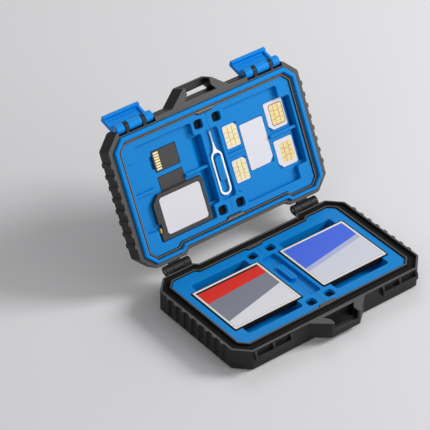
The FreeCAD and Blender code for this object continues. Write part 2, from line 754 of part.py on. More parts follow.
lid_tray_left = new_body("lid_tray_left")
slab(lid_tray_left, "block", f"{LID_BACK} + shell_floor", "lid_height - shell_floor - tray_drop",
     loop(half_outline(f"{LID_CAVITY} + tray_gap", LID_MIDDLE, "-1", "tray_gap", -1)))
well(lid_tray_left, "-1")
trough(lid_tray_left, "trough_in", "-trough_inner", "-well_in")
divider_gap(lid_tray_left, "divider_gap_left", "divider_gap_right")
MSD_DEPTH = {"upper": "(well_depth + msd_thick - msd_sink)",
             "lower": "(well_depth + msd_thick + msd_sink)"}
for name, depth in MSD_DEPTH.items():
    sink(lid_tray_left, f"small_{name}", LID_TOP, depth,
         soft_box("msd_x", spot_y(f"msd_{name}_y"), roomy("msd_length"), roomy("msd_width"),
                  "msd_round"))
sink(lid_tray_left, "small_notch", LID_TOP, "well_depth + msd_notch_depth",
     soft_box("msd_x - msd_length / 2 - card_play", spot_y("msd_upper_y"), "msd_notch_length",
              "msd_notch_width", "pocket_round"))
channel(lid_tray_left, LID_TOP, LID_MIDDLE, "-island_off")
LID_HOLE = "lid_height - tray_drop - shell_floor + cut_overrun"
sink(lid_tray_left, "pegs", LID_TOP, LID_HOLE, *pegs(LID_MIDDLE, "0"))

SIMS = (
    ("nano_sim_upper", "nano_x", "nano_upper_y", "nano_width", "nano_length", "nano_cut"),
    ("nano_sim_lower", "nano_x", "nano_lower_y", "nano_width", "nano_length", "nano_cut"),
    ("mini_sim", "mini_x", "mini_y", "mini_width", "mini_length", "sim_cut"),
    ("micro_sim_upper", "micro_x", "micro_upper_y", "micro_width", "micro_length", "sim_cut"),
    ("micro_sim_lower", "micro_x", "micro_lower_y", "micro_width", "micro_length", "sim_cut"),
)
lid_tray_right = new_body("lid_tray_right")
slab(lid_tray_right, "block", f"{LID_BACK} + shell_floor", "lid_height - shell_floor - tray_drop",
     loop(half_outline(f"{LID_CAVITY} + tray_gap", LID_MIDDLE, "-1", "tray_gap", 1)))
well(lid_tray_right, "1")
trough(lid_tray_right, "trough_out", "trough_outer", "well_out")
MINI_HALF = "(mini_width / 2 + card_play + divider_lap)"
divider_gap(lid_tray_right, f"mini_x - {MINI_HALF}", f"mini_x + {MINI_HALF}")
SIM_DEPTH = "(well_depth + sim_thick - sim_proud)"
for name, x, y, wide, long, cut in SIMS:
    sink(lid_tray_right, name, LID_TOP, SIM_DEPTH,
         soft_box(x, spot_y(y), roomy(wide), roomy(long), "sim_round"))
channel(lid_tray_right, LID_TOP, LID_MIDDLE, "-island_off")
sink(lid_tray_right, "pegs", LID_TOP, LID_HOLE, *pegs(LID_MIDDLE, "0"))

# large cards: a body with a guide groove on each short side and a socket in its rear edge, and a label
CF_FLOOR = f"({BASE_TOP} - cf_thick + cf_proud)"
LABEL_LENGTH = "cf_length - 2 * cf_label_inset"
LABEL_WIDTH = "cf_width - 2 * cf_label_inset"
for side in ("-1", "1"):
    tag = "left" if side == "-1" else "right"
    card = new_body(f"cf_card_{tag}")
    spot = f"{side} * cf_x"
    slab(card, "block", CF_FLOOR, "cf_thick",
         soft_box(spot, "0", "cf_length", "cf_width", "cf_label_round"))
    sink(card, "label_bed", f"{CF_FLOOR} + cf_thick", "cf_label_thick",
         soft_box(spot, "0", LABEL_LENGTH, LABEL_WIDTH, "cf_label_round"))
    guide_z = f"{CF_FLOOR} + cf_guide_low"
    for end in ("-1", "1"):
        wall = f"{spot} + {end} * cf_length / 2"
        edges = [wall, f"{wall} - {end} * cf_guide_depth"]
        edges.sort(key=value)
        bar(card, f"guide_{'low' if end == '-1' else 'high'}", edges[0], edges[1],
            loop([("cf_width / 2 + cut_overrun", guide_z), ("cf_width / 2 - cf_guide_length", guide_z),
                  ("cf_width / 2 - cf_guide_length", f"{guide_z} + cf_guide_high"),
                  ("cf_width / 2 + cut_overrun", f"{guide_z} + cf_guide_high")]), kind="Pocket")
    socket = [f"{spot} - cf_socket_length / 2", f"{spot} + cf_socket_length / 2"]
    bar(card, "socket", socket[0], socket[1],
        loop([("cf_width / 2 + cut_overrun", guide_z), ("cf_width / 2 - cf_socket_depth", guide_z),
              ("cf_width / 2 - cf_socket_depth", f"{guide_z} + cf_socket_high"),
              ("cf_width / 2 + cut_overrun", f"{guide_z} + cf_socket_high")]), kind="Pocket")
    label = new_body(f"cf_label_{tag}")
    slab(label, "plate", f"{CF_FLOOR} + cf_thick - cf_label_thick", "cf_label_thick",
         soft_box(spot, "0", LABEL_LENGTH, LABEL_WIDTH, "cf_label_round"))

# middle card with its label and write lock
sd_floor = f"({LID_TOP} - well_depth)"
left_x = "(sd_x - sd_length / 2)"
right_x = "(sd_x + sd_length / 2)"
low_y = spot_y("sd_y - sd_width / 2")
high_y = spot_y("sd_y + sd_width / 2")
sd_card = new_body("sd_card")
block = slab(sd_card, "block", sd_floor, "sd_thick",
             loop([(left_x, low_y), (right_x, low_y), (right_x, high_y), (f"{left_x} + sd_cut", high_y),
                   (left_x, f"{high_y} - sd_cut")]))
dress(sd_card, block, "Fillet", "corners", "sd_round", upright)
label_length = "(sd_length - sd_label_left - sd_label_right)"
label_width = "(sd_width - 2 * sd_label_side)"
label_x = f"{left_x} + sd_label_left + {label_length} / 2"
sink(sd_card, "label_bed", f"{sd_floor} + sd_thick", "sd_label_thick",
     soft_box(label_x, spot_y("sd_y"), label_length, label_width, "sd_label_round"))
notch_low = f"({low_y} + lock_y)"
notch_high = f"({notch_low} + lock_length + lock_travel + 2 * lock_gap)"
sink(sd_card, "lock_notch", f"{sd_floor} + sd_thick", "sd_thick",
     loop([(f"{left_x} - cut_overrun", notch_low), (f"{left_x} + lock_notch", notch_low),
           (f"{left_x} + lock_notch", notch_high), (f"{left_x} - cut_overrun", notch_high)]))
sd_label = new_body("sd_label")
slab(sd_label, "plate", f"{sd_floor} + sd_thick - sd_label_thick", "sd_label_thick",
     soft_box(label_x, spot_y("sd_y"), label_length, label_width, "sd_label_round"))
sd_lock = new_body("sd_lock")
lock_right = f"{left_x} + lock_notch - lock_gap"
lock_left = f"{lock_right} - lock_width"
lock_low = f"{notch_low} + lock_gap"
lock_high = f"{lock_low} + lock_length"
slab(sd_lock, "slider", f"{sd_floor} + (sd_thick - lock_thick) / 2", "lock_thick",
     loop([(lock_left, lock_low), (lock_right, lock_low), (lock_right, lock_high),
           (lock_left, lock_high)]))

# small cards
for name, depth in MSD_DEPTH.items():
    card = new_body(f"microsd_{name}")
    left = "(msd_x - msd_length / 2)"
    right = "(msd_x + msd_length / 2)"
    low = spot_y(f"msd_{name}_y - msd_width / 2")
    high = spot_y(f"msd_{name}_y + msd_width / 2")
    block = slab(card, "block", f"{LID_TOP} - ({depth})", "msd_thick",
                 loop([(left, low), (right, low), (right, high), (left, high)]))
    dress(card, block, "Fillet", "corners", "msd_round", upright)

# subscriber cards with their contact plates
CHIPS = {"nano": ("nano_chip_width", "nano_chip_length", "0"),
         "micro": ("micro_chip_width", "micro_chip_length", "micro_chip_shift")}
sim_floor = f"({LID_TOP} - {SIM_DEPTH})"
for name, x, y, wide, long, cut in SIMS:
    card = new_body(name)
    left = f"({x} - {wide} / 2)"
    right = f"({x} + {wide} / 2)"
    low = spot_y(f"{y} - {long} / 2")
    high = spot_y(f"{y} + {long} / 2")
    if name == "mini_sim":
        points = [(left, low), (f"{right} - {cut}", low), (right, f"{low} + {cut}"), (right, high)]
        points += [(left, high)]
    elif name.startswith("nano"):
        points = [(left, low), (right, low), (right, f"{high} - {cut}"), (f"{right} - {cut}", high)]
        points += [(left, high)]
    else:
        points = [(f"{left} + {cut}", low), (right, low), (right, high), (left, high)]
        points += [(left, f"{low} + {cut}")]
    block = slab(card, "block", sim_floor, "sim_thick", loop(points))
    dress(card, block, "Fillet", "corners", "sim_round", upright)
    kind = name.split("_")[0]
    if kind in CHIPS:
        chip_wide, chip_long, shift = CHIPS[kind]
        place = soft_box(f"{x} + {shift}", spot_y(y), chip_wide, chip_long, "chip_round")
        sink(card, "chip_bed", f"{sim_floor} + sim_thick", "chip_thick", place)
        chip = new_body(f"{name}_chip")
        slab(chip, "plate", f"{sim_floor} + sim_thick - chip_thick", "chip_thick", place)

# eject pin: a loop of wire with a straight tip
eject_pin = new_body("eject_pin")
bed = f"({LID_TOP} - channel_depth)"
loop_middle = f"{LID_MIDDLE} + (pin_loop_low + pin_loop_high) / 2"
loop_long = "(pin_loop_high - pin_loop_low)"
slab(eject_pin, "loop", bed, "2 * pin_wire",
     soft_box("0", loop_middle, "2 * pin_loop_half", loop_long, "pin_loop_round"),
     soft_box("0", loop_middle, "2 * (pin_loop_half - 2 * pin_wire)", f"{loop_long} - 4 * pin_wire",
              "pin_loop_round - 2 * pin_wire"))
stem = new_sketch(eject_pin, "eject_pin_stem", "XZ_Plane", minus(spot_y("pin_loop_high - pin_wire")))
circle(stem, "0", f"{bed} + pin_wire", "pin_wire - pin_taper / 2")
stem_pad = extrude(eject_pin, stem, "Pad", "pin_tip - pin_loop_high + pin_wire")
stem_pad.Reversed = True
doc.recompute()

# every piece in place
LID_NODES = ["lid_shell", "lid_seal", "latch_pin_left", "latch_pin_right", "lid_tray_left",
             "lid_tray_right", "sd_card", "sd_label", "sd_lock", "microsd_upper", "microsd_lower",
             "eject_pin"]
LID_NODES += [row[0] for row in SIMS]
LID_NODES += [f"{row[0]}_chip" for row in SIMS if row[0].split("_")[0] in CHIPS]


def place(node, y, z, angle):
    node.Placement = FreeCAD.Placement(FreeCAD.Vector(0, value(y), value(z)),
                                       FreeCAD.Rotation(FreeCAD.Vector(1, 0, 0), value(angle)))
    node.setExpression("Placement.Base.y", bound(y))
    node.setExpression("Placement.Base.z", bound(z))
    node.setExpression("Placement.Rotation.Angle", bound(angle))


for name in LID_NODES:
    place(doc.getObject(name), HINGE_Y, HINGE_Z, "lid_raise")
PIVOT_Y = f"{HINGE_Y} + ({LATCH_Y}) * cos(lid_raise) - ({LATCH_Z}) * sin(lid_raise)"
PIVOT_Z = f"{HINGE_Z} + ({LATCH_Y}) * sin(lid_raise) + ({LATCH_Z}) * cos(lid_raise)"
for tag, side in (("left", "-1"), ("right", "1")):
    node = doc.getObject(f"latch_{tag}")
    place(node, PIVOT_Y, PIVOT_Z, "lid_raise - latch_swing")
    node.setExpression("Placement.Base.x", bound(f"{side} * latch_x"))
doc.recompute()

os.makedirs("parts", exist_ok=True)
nodes = [item for item in doc.Objects if item.TypeId == "PartDesign::Body"]
for item in doc.Objects:
    if "Invalid" in item.State or "Error" in item.State:
        raise RuntimeError(f"{item.Name} did not compute")
for node in nodes:
    if node.Shape.isNull() or not node.Shape.isValid() or len(node.Shape.Solids) != 1:
        raise RuntimeError(f"{node.Name} is not one sound solid")
    node.Shape.exportStep(f"parts/{node.Label}.step")
print(len(nodes), "pieces written")
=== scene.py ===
import itertools
import json
import math

import bmesh
import bpy
from mathutils import Matrix, Vector, geometry

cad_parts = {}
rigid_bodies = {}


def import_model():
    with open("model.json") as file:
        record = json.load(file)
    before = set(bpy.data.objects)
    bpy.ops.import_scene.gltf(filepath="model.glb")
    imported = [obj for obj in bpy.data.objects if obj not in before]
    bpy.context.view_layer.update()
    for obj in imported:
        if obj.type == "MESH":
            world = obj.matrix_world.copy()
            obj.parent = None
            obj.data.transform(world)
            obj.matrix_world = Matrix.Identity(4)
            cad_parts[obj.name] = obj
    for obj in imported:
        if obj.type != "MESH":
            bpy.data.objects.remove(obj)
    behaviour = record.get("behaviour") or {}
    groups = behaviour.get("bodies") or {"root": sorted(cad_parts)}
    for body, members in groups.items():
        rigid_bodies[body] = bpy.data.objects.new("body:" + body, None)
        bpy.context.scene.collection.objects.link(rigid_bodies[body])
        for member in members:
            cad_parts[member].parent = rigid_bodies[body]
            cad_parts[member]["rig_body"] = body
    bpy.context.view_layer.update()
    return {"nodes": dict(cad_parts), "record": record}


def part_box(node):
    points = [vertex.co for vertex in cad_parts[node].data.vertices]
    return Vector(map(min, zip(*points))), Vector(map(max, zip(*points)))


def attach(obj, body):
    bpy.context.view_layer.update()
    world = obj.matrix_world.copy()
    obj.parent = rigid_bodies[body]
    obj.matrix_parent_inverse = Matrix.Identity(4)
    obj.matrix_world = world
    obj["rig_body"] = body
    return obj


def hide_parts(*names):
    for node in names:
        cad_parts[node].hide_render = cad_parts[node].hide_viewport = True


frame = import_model()
nodes = frame["nodes"]
slotOf = {entry["node"]: entry["material_slot"] for entry in frame["record"]["subparts"]}
mm = 0.001
root2 = math.sqrt(2)
print("frame loaded:", len(nodes), "nodes")

lid = {
    "hinge": (0.0, 39.75 * mm, 12.5 * mm),
    "raised": math.radians(64),  # how far the open lid stands up from flat
    "middle": 39.75 * mm,  # hinge line to the middle of the lid
}
lidPlace = Matrix.Translation(lid["hinge"]) @ Matrix.Rotation(lid["raised"], 4, "X")
lidTurn = (lid["raised"], 0, 0)


def paint(red, green, blue):  # a screen colour, as the linear colour that sockets take
    def linear(part):
        part /= 255
        return part / 12.92 if part <= 0.04045 else ((part + 0.055) / 1.055) ** 2.4
    return linear(red), linear(green), linear(blue), 1.0


def shade(colour, share, lift=0.0):  # the same colour, darker or paler
    return [min(part * share + lift, 1.0) for part in colour[:3]] + [1.0]


def swing(noise, reach):  # noise as a change of half the reach either way
    return reach * (noise - 0.5)


def boxOf(name):  # middle and half size of a node
    low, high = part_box(name)
    return (low + high) / 2, (high - low) / 2


def addObject(name, bm, material):
    mesh = bpy.data.meshes.new(name)
    bm.to_mesh(mesh)
    bm.free()
    mesh.materials.append(material)
    thing = bpy.data.objects.new(name, mesh)
    bpy.context.scene.collection.objects.link(thing)
    return thing


class Signal:  # a socket that takes part in sums
    def __init__(self, finish, socket):
        self.finish = finish
        self.socket = socket

    def maths(self, operation, first, second=0.0):
        return self.finish.node("ShaderNodeMath", {"operation": operation}, {0: first, 1: second})

    def __add__(self, other):
        return self.maths("ADD", self, other)

    def __radd__(self, other):
        return self.maths("ADD", other, self)

    def __sub__(self, other):
        return self.maths("SUBTRACT", self, other)

    def __rsub__(self, other):
        return self.maths("SUBTRACT", other, self)

    def __mul__(self, other):
        return self.maths("MULTIPLY", self, other)

    def __rmul__(self, other):
        return self.maths("MULTIPLY", other, self)

    def __gt__(self, other):
        return self.maths("GREATER_THAN", self, other)

    def __lt__(self, other):
        return self.maths("LESS_THAN", self, other)

    def __or__(self, other):
        return self.maths("MAXIMUM", self, other)

    def __and__(self, other):
        return self.maths("MINIMUM", self, other)

    def __abs__(self):
        return self.maths("ABSOLUTE", self)

    def __neg__(self):
        return self.maths("MULTIPLY", self, -1.0)

    def root(self):
        return self.maths("SQRT", self)


noiseDetail = {"fine": 3.0, "broad": 2.0}
# settings of the edge mask, which carries the painted edge highlights and the smoother edges
edgeMask = {"samples": 6, "from": 0.02, "full": 0.22}


class Finish:  # one material and its nodes
    def __init__(self, name, **constants):
        self.material = bpy.data.materials.new(name)
        self.material.use_nodes = True
        self.tree = self.material.node_tree
        self.shader = self.tree.nodes["Principled BSDF"]
        for socket, value in constants.items():
            self.set(socket.replace("_", " "), value)

    def feed(self, socket, value):
        if isinstance(value, Signal):
            self.tree.links.new(value.socket, socket)
        else:
            socket.default_value = value

    def set(self, socket, value):
        self.feed(self.shader.inputs[socket], value)

    def node(self, kind, settings, sockets, out=0):
        made = self.tree.nodes.new(kind)
        for name, value in settings.items():
            setattr(made, name, value)
        for name, value in sockets.items():
            self.feed(made.inputs[name], value)
        return Signal(self, made.outputs[out])

    def where(self, centre=(0, 0, 0), turn=(0, 0, 0)):
        spot = self.node("ShaderNodeTexCoord", {}, {}, "Object")
        return self.node("ShaderNodeMapping", {"vector_type": "TEXTURE"},
                         {"Vector": spot, "Location": centre, "Rotation": turn})

    def axes(self, vector):
        split = self.node("ShaderNodeSeparateXYZ", {}, {"Vector": vector})
        return [Signal(self, out) for out in split.socket.node.outputs]

    def noise(self, vector, size, kind="fine"):  # size of one grain in metres
        return self.node("ShaderNodeTexNoise", {},
                         {"Vector": vector, "Scale": 1 / size, "Detail": noiseDetail[kind]})

    def step(self, value, low, high):  # 0 below low, 1 above high, soft between
        return self.node("ShaderNodeMapRange", {"interpolation_type": "SMOOTHSTEP"},
                         {"Value": value, "From Min": low, "From Max": high})

    def mix(self, share, first, second):
        return self.node("ShaderNodeMix", {"data_type": "RGBA"}, {0: share, 6: first, 7: second}, 2)

    def edges(self, radius):  # 1 along sharp edges, 0 on flats
        soft = self.node("ShaderNodeBevel", {"samples": edgeMask["samples"]}, {"Radius": radius})
        true = self.node("ShaderNodeNewGeometry", {}, {}, "Normal")
        same = self.node("ShaderNodeVectorMath", {"operation": "DOT_PRODUCT"}, {0: soft, 1: true}, "Value")
        return self.step(1 - same, edgeMask["from"], edgeMask["full"])

    def softBox(self, x, y, halfX, halfY, corner):  # distance outside a box with round corners
        outX = abs(x) - (halfX - corner)
        outY = abs(y) - (halfY - corner)
        far = ((outX | 0.0) * (outX | 0.0) + (outY | 0.0) * (outY | 0.0)).root()
        return far + ((outX | outY) & 0.0) - corner

    def relief(self, height, depth, strength):
        bump = self.node("ShaderNodeBump", {},
                         {"Height": height, "Distance": depth, "Strength": strength})
        self.set("Normal", bump)


# black shells, with a painted grey sheen on the rim and painted highlights along the edges

shell = {
    "colour": paint(14, 14, 15), "patchColour": paint(21, 21, 22),
    "patchShare": 0.5, "grainShare": 0.9, "grainFrom": 0.25,
    "grain": 0.4 * mm, "patch": 14 * mm, "depth": 0.07 * mm, "strength": 0.8,
    "rim": paint(86, 84, 82), "rimDeep": 0.35 * mm, "rimFull": 0.245 * mm,
    "rimStart": (0.1 * mm, 0.3 * mm),  # the painted grey sheen begins just inside the rear edge
    "rimWear": 0.45, "rimPatch": 0.3, "rimGrain": 0.5,
    "edge": paint(118, 115, 112), "edgeSize": 0.45 * mm, "edgeWear": 0.3, "edgePatch": 0.5,
    "specular": 0.35, "rough": 0.46,
    "roughPatch": 0.2, "roughGrain": 0.12, "roughEdge": 0.1, "roughSunk": 0.45,
    "middle": 36.5 * mm,  # rear edge to the middle of the shell
}
sunkShade = {  # what lies below the rim and inside these limits gets painted shade: a darker black, and it is rougher
    "colour": paint(6, 6, 7), "halfX": 60.2 * mm, "halfY": 35.7 * mm, "corner": 4.5625 * mm,
    "cut": 88.7 * mm, "cutSlope": 0.7, "rearHalf": 34 * mm, "rearStep": 2.8 * mm,
    "soft": 0.1 * mm, "top": (0.9 * mm, 1.1 * mm), "floor": (-9.9 * mm, -9.7 * mm),
}
twinLine = {  # fine cut along the top of the lid's inner wall, with a painted highlight on both sides of it
    "inset": 6.25 * mm, "half": 0.3 * mm, "wall": 0.8 * mm, "soft": 0.06 * mm,
    "pale": paint(150, 146, 142), "deep": 3.0,
    "halfX": 61 * mm, "halfY": 36.5 * mm, "corner": 90 * mm,
    "rearShare": 0.72, "rearStep": 2 * mm, "rearHalf": 32 * mm,
}
rims = {  # rim plane of each shell: a point on its hinge side, turned so that y runs away from the hinge
    "base_shell": ((0, 36.5 * mm, 12.5 * mm), (0, 0, math.pi)),
    "lid_shell": (lidPlace @ Vector((0, 3.25 * mm, -0.3 * mm)), lidTurn),
}


def sunkShadeMask(f, x, y, z, across):
    inside = f.softBox(x, across, sunkShade["halfX"], sunkShade["halfY"], sunkShade["corner"])
    inside = inside | (abs(x) + abs(across) - sunkShade["cut"]) * sunkShade["cutSlope"]
    inside = inside | ((sunkShade["rearStep"] - y) & (sunkShade["rearHalf"] - abs(x)))
    return f.step(-inside, 0, sunkShade["soft"]) * f.step(-z, *sunkShade["top"]) * f.step(z, *sunkShade["floor"])


def innerLine(x, across):  # distance from a line that runs along the lid's inner wall
    inset = twinLine["inset"]
    rear = twinLine["halfY"] - inset * twinLine["rearShare"]
    step = rear - twinLine["rearStep"]
    stepEnd = twinLine["rearHalf"] + inset * (root2 - 1)
    frontCut = twinLine["corner"] - inset * root2
    rearCut = twinLine["corner"] - inset * (root2 - 1 + twinLine["rearShare"])
    out = (abs(x) - (twinLine["halfX"] - inset)) | (across - (twinLine["halfY"] - inset)) | (-across - rear)
    out = out | (abs(x) + across - frontCut) * (1 / root2)
    out = out | (abs(x) - across - rearCut) * (1 / root2)
    out = out | ((-across - step) & ((stepEnd - step - across - abs(x)) * (1 / root2)))
    return abs(out)


def shellFinish(node):
    f = Finish("shellBlack_" + node, Specular_IOR_Level=shell["specular"])
    spot = f.where(*rims[node])
    x, y, z = f.axes(spot)
    across = y - shell["middle"]
    grain = f.noise(spot, shell["grain"])
    patch = f.noise(spot, shell["patch"])
    # painted shade: the black below the rim inside the shell is made darker, with no edge highlight
    sunk = sunkShadeMask(f, x, y, z, across)
    # painted highlight: the edges are made paler grey, except in the painted shade
    edge = f.edges(shell["edgeSize"]) * (1 - sunk)
    # painted sheen: faces in the rim plane are made grey, speckled by the noise
    rim = f.step(-abs(z), -shell["rimDeep"], -shell["rimFull"]) * f.step(y, *shell["rimStart"])
    rimTone = shell["rim"]
    height = grain
    if node == "lid_shell":
        far = innerLine(x, across)
        line = f.step(-far, -twinLine["half"] - twinLine["soft"], -twinLine["half"]) * rim
        wall = f.step(-far, -twinLine["wall"] - twinLine["soft"], -twinLine["wall"]) * rim
        # painted highlight: the wall top on both sides of the cut is made paler grey
        rimTone = f.mix(wall, shell["rim"], twinLine["pale"])
        rim = rim * (1 - line)
        edge = edge * (1 - line)
        height = grain - twinLine["deep"] * line
    rim = rim * (shell["rimWear"] + shell["rimPatch"] * patch + shell["rimGrain"] * grain)
    speckle = shell["patchShare"] * patch + shell["grainShare"] * (grain - shell["grainFrom"])
    tone = f.mix(speckle, shell["colour"], shell["patchColour"])
    tone = f.mix(sunk, f.mix(rim, tone, rimTone), sunkShade["colour"])
    f.set("Base Color", f.mix(edge * (shell["edgeWear"] + shell["edgePatch"] * patch), tone, shell["edge"]))
    rough = shell["rough"] + swing(patch, shell["roughPatch"]) + swing(grain, shell["roughGrain"])
    f.set("Roughness", rough - shell["roughEdge"] * edge + shell["roughSunk"] * sunk)
    f.relief(height, shell["depth"], shell["strength"])
    return f.material


# blue trays, latches and seal

blues = {
    "tray_blue": {"name": "trayBlue", "colour": paint(0, 134, 212), "rough": 0.42,
                  "grainSize": 0.4 * mm, "depth": 0.045 * mm},
    "latch_blue": {"name": "latchBlue", "colour": paint(4, 142, 232), "rough": 0.36,
                   "grainSize": 0.4 * mm, "depth": 0.035 * mm},
    "seal_blue": {"name": "sealBlue", "colour": paint(0, 138, 222), "rough": 0.6,
                  "grainSize": 0.3 * mm, "depth": 0.03 * mm},
}
bluePlastic = {"specular": 0.14, "patch": 18 * mm, "deep": 0.9, "pale": (1.15, 0.03),
               "edgeSize": 0.4 * mm, "edgeWear": 0.55,
               "roughPatch": 0.14, "roughGrain": 0.1, "strength": 0.7}


def blueFinish(name, colour, rough, grainSize, depth):
    f = Finish(name, Specular_IOR_Level=bluePlastic["specular"])
    spot = f.where()
    grain = f.noise(spot, grainSize)
    patch = f.noise(spot, bluePlastic["patch"], "broad")
    edge = f.edges(bluePlastic["edgeSize"])
    tone = f.mix(patch, shade(colour, bluePlastic["deep"]), colour)
    # painted highlight: the edges are made paler
    f.set("Base Color", f.mix(edge * bluePlastic["edgeWear"], tone, shade(colour, *bluePlastic["pale"])))
    rough = rough + swing(patch, bluePlastic["roughPatch"]) + swing(grain, bluePlastic["roughGrain"])
    f.set("Roughness", rough)
    f.relief(grain, depth, bluePlastic["strength"])
    return f.material


# large cards: a black body with a pale border round the label

cfCard = {"body": paint(20, 20, 22), "border": paint(240, 235, 228), "borderDull": paint(224, 220, 214),
          "rim": 0.3 * mm, "rimFull": 0.24 * mm, "edging": 0.55 * mm, "soft": 0.04 * mm, "corner": 1.0 * mm,
          "grain": 0.3 * mm, "specular": 0.25, "rough": 0.48, "roughBorder": 0.12, "roughGrain": 0.1,
          "raised": 2.0, "depth": 0.02 * mm, "strength": 0.4}


def cfFinish(node):
    f = Finish("cfBody_" + node, Specular_IOR_Level=cfCard["specular"])
    middle, half = boxOf(node)
    spot = f.where(middle)
    x, y, height = f.axes(spot)
    grain = f.noise(spot, cfCard["grain"], "broad")
    face = f.step(height, half.z - cfCard["rim"], half.z - cfCard["rimFull"])
    inside = f.step(f.softBox(x, y, half.x, half.y, cfCard["corner"]),
                    cfCard["soft"] - cfCard["edging"], -cfCard["soft"] - cfCard["edging"])
    border = face * inside
    pale = f.mix(grain, cfCard["border"], cfCard["borderDull"])
    f.set("Base Color", f.mix(border, cfCard["body"], pale))
    f.set("Roughness", cfCard["rough"] - cfCard["roughBorder"] * border + swing(grain, cfCard["roughGrain"]))
    f.relief(grain + cfCard["raised"] * border, cfCard["depth"], cfCard["strength"])
    return f.material


labels = {  # bands of colour from the front to the back, with slanted edges between them
    "cf_label_red": {"name": "cfLabelRed", "node": "cf_label_left",
                     "bands": (paint(226, 225, 229), paint(130, 131, 144), paint(226, 42, 22)),
                     "edges": (-6.6 * mm, 7.2 * mm), "slants": (0.22, 0.06), "strip": 1.3 * mm},
    "cf_label_violet": {"name": "cfLabelViolet", "node": "cf_label_right",
                        "bands": (paint(214, 215, 226), paint(180, 186, 218), paint(72, 108, 228)),
                        "edges": (-1.6 * mm, 1.4 * mm), "slants": (0.16, 0.16), "strip": 0.0},
}
labelPaper = {"border": 0.4 * mm,  # the card's pale border reaches this far onto the label
              "outline": 0.12 * mm, "outlineColour": paint(84, 84, 90),
              "corner": 0.8 * mm, "soft": 0.12 * mm,
              "soil": paint(90, 90, 96), "soilFibre": 0.05, "soilCloud": 0.05,
              "fibre": 0.25 * mm, "cloud": 9 * mm, "specular": 0.12, "rough": 0.36, "roughFibre": 0.1,
              "depth": 0.008 * mm, "strength": 0.4}


def labelFinish(name, node, bands, edges, slants, strip):
    f = Finish(name, Specular_IOR_Level=labelPaper["specular"])
    middle, half = boxOf(node)
    spot = f.where(middle)
    x, y = f.axes(spot)[:2]
    fibre = f.noise(spot, labelPaper["fibre"])
    cloud = f.noise(spot, labelPaper["cloud"], "broad")
    tone = bands[0]
    for band, edge, slant in zip(bands[1:], edges, slants):
        tone = f.mix(f.step(y - slant * x, edge, edge + labelPaper["soft"]), tone, band)
    tone = f.mix(y > half.y - labelPaper["border"] - strip, tone, cfCard["body"])
    inward = -f.softBox(x, y, half.x, half.y, labelPaper["corner"])
    tone = f.mix(inward < labelPaper["border"] + labelPaper["outline"], tone, labelPaper["outlineColour"])
    tone = f.mix(inward < labelPaper["border"], tone, cfCard["border"])
    soil = labelPaper["soilFibre"] * fibre + labelPaper["soilCloud"] * cloud
    f.set("Base Color", f.mix(soil, tone, labelPaper["soil"]))
    f.set("Roughness", labelPaper["rough"] + swing(fibre, labelPaper["roughFibre"]))
    f.relief(fibre, labelPaper["depth"], labelPaper["strength"])
    return f.material


def onLid(f, node):  # coordinates on a plate that lies in the lid, and half its width and length
    middle, half = boxOf(node)
    return f.where(middle, lidTurn), half.x, math.hypot(half.y, half.z)


# plain card plastics; the last one has a brown edge printed round its contact plate

cards = {
    "card_dark": {"name": "cardDark", "colour": paint(52, 50, 51), "rough": 0.5, "speck": 0.08},
    "sd_label": {"name": "sdLabel", "colour": paint(222, 220, 226), "rough": 0.42, "speck": 0.05},
    "lock_yellow": {"name": "lockYellow", "colour": paint(232, 176, 40), "rough": 0.42, "speck": 0.08},
    "sim_white": {"name": "simWhite", "colour": paint(222, 221, 230), "rough": 0.4, "speck": 0.04},
    "micro_sim_upper": {"name": "simFramed", "colour": paint(222, 221, 230), "rough": 0.4, "speck": 0.04,
                        "chip": "micro_sim_upper_chip"},
}
cardPlastic = {"specular": 0.45, "grain": 0.22 * mm, "cloud": 8 * mm, "grainShare": 0.5, "cloudShare": 0.5,
               "edgeSize": 0.25 * mm, "edgeWear": 0.4, "pale": (1.25, 0.04), "roughGrain": 0.12,
               "depth": 0.012 * mm, "strength": 0.5}
chipFrame = {"colour": paint(128, 82, 64), "wide": 0.4 * mm, "corner": 1.5 * mm, "below": 0.12 * mm}


def cardFinish(name, colour, rough, speck, chip=None):
    f = Finish(name, Specular_IOR_Level=cardPlastic["specular"])
    spot = f.where()
    grain = f.noise(spot, cardPlastic["grain"])
    cloud = f.noise(spot, cardPlastic["cloud"], "broad")
    edge = f.edges(cardPlastic["edgeSize"])
    speckle = cardPlastic["grainShare"] * grain + cardPlastic["cloudShare"] * cloud
    tone = f.mix(speckle, shade(colour, 1 - speck), colour)
    # painted highlight: the edges are made paler
    tone = f.mix(edge * cardPlastic["edgeWear"], tone, shade(colour, *cardPlastic["pale"]))
    if chip:
        plate, halfWide, halfLong = onLid(f, chip)
        x, y, z = f.axes(plate)
        ring = f.softBox(x, y, halfWide + chipFrame["wide"], halfLong + chipFrame["wide"],
                         chipFrame["corner"])
        tone = f.mix((ring < 0.0) & (z > -chipFrame["below"]), tone, chipFrame["colour"])
    f.set("Base Color", tone)
    f.set("Roughness", rough + swing(grain, cardPlastic["roughGrain"]))
    f.relief(grain, cardPlastic["depth"], cardPlastic["strength"])
    return f.material


metals = {
    "pin_steel": {"name": "pinSteel", "colour": paint(150, 150, 152), "rough": 0.34,
                  "streak": 0.15 * mm, "metal": 1.0},
    "eject_steel": {"name": "ejectSteel", "colour": paint(228, 228, 232), "rough": 0.34,
                    "streak": 0.2 * mm, "metal": 0.55},
    "contact_gold": {"name": "contactGold", "colour": paint(214, 196, 146), "rough": 0.3,
                     "streak": 0.2 * mm, "metal": 1.0},
}
metalWear = {"cloud": 4 * mm, "dull": 0.86, "roughFine": 0.12, "roughCloud": 0.08,
             "depth": 0.004 * mm, "strength": 0.3}


